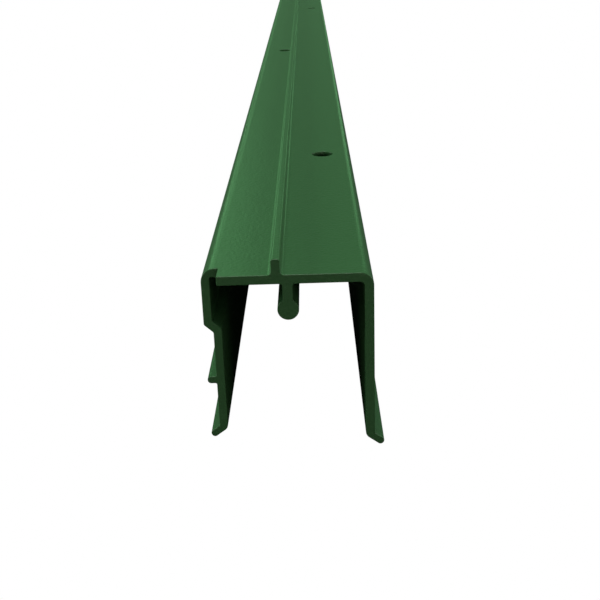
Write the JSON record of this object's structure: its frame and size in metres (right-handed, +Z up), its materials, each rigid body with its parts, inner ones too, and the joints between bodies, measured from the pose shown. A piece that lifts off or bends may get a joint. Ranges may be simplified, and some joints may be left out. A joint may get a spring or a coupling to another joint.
{
  "type": "channel post",
  "caption": "Long green coated U-channel with an upright rib, a bulb-ended stem inside, one stepped leg, flared feet and staggered round holes.",
  "frame": {"origin": "middle of the length and of the overall width, on the surface that the tips of the two feet stand on", "axes": "+Y along the channel, away from the notched end; +X from the stepped left leg to the straight right leg; +Z up, from the feet to the web"},
  "size_m": [0.0422, 1.067, 0.0477],
  "materials": {
    "green_coating": "fine-textured satin powder coat over aluminium"
  },
  "bodies": {
    "root": {"post_channel": "green_coating"}
  },
  "joints": []
}
